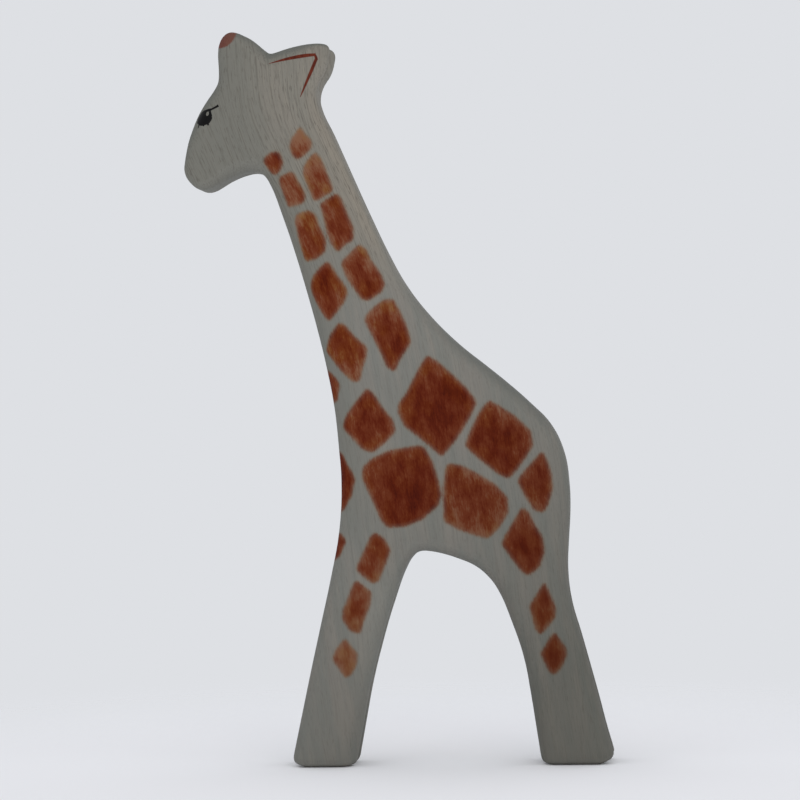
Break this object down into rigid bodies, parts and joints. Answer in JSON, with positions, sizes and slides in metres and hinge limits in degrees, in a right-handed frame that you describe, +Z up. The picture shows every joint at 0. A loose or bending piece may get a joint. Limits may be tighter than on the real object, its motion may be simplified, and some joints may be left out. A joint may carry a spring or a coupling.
{
  "type": "toy giraffe figure",
  "caption": "Flat standing giraffe figure sawn from a wooden board, with rounded edges, an arch under the belly, a slot between the left and right legs and a notch between the ears.",
  "frame": {"origin": "on the floor, under the middle of the figure's length and of the board's thickness", "axes": "+Z up, -X the way the animal faces, Y across the board's thickness with -Y the side shown in the picture"},
  "size_m": [0.1872, 0.028, 0.3297],
  "materials": {
    "oiled_maple": "hand-sanded pale maple, oiled, with rust-brown stain patches and a painted eye"
  },
  "bodies": {
    "root": {"carved_body": "oiled_maple"}
  },
  "joints": []
}
